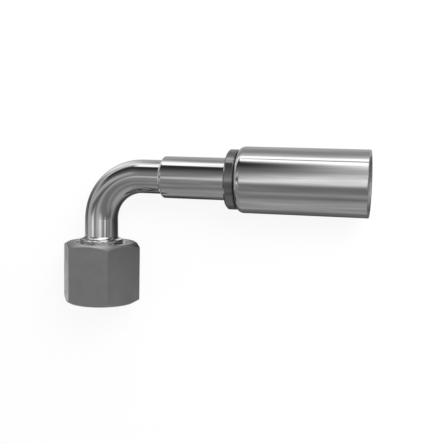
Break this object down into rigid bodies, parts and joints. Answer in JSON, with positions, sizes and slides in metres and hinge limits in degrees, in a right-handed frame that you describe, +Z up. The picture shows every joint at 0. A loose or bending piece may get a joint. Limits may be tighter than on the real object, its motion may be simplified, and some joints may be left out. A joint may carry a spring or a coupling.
{
  "type": "hydraulic hose fitting",
  "caption": "Right-angle hydraulic hose fitting: hexagon swivel nut with a cone seat, swept bent tube, and a hose tail with stop collar and crimp ferrule.",
  "frame": {"origin": "centre of the swivel nut's mouth, on the thread's axis", "axes": "-Y points out of the nut's mouth, the way the mating part leaves; +X points along the hose tail, the way the hose leaves; +Z is up from the flat of the nut that the fitting lies on"},
  "size_m": [0.117, 0.0613, 0.027],
  "materials": {
    "satin_plated_steel": "satin plated",
    "bright_plated_steel": "bright plated",
    "spring_wire": "drawn wire",
    "plated_braze": "plated over"
  },
  "bodies": {
    "hose_end": {"seat_nose": "bright_plated_steel", "nose_braze_ring": "plated_braze", "elbow_tube": "bright_plated_steel", "stem_braze_ring": "plated_braze", "hose_insert": "bright_plated_steel", "stop_collar": "satin_plated_steel", "ferrule": "bright_plated_steel"},
    "nut": {"swivel_nut": "satin_plated_steel", "thrust_wire": "spring_wire"}
  },
  "joints": [
    {"name": "nut_swivel", "type": "hinge", "parent": "hose_end", "child": "nut", "pos_m": [0, 0.0178, 0], "axis": [0, 1, 0], "continuous": true}
  ]
}
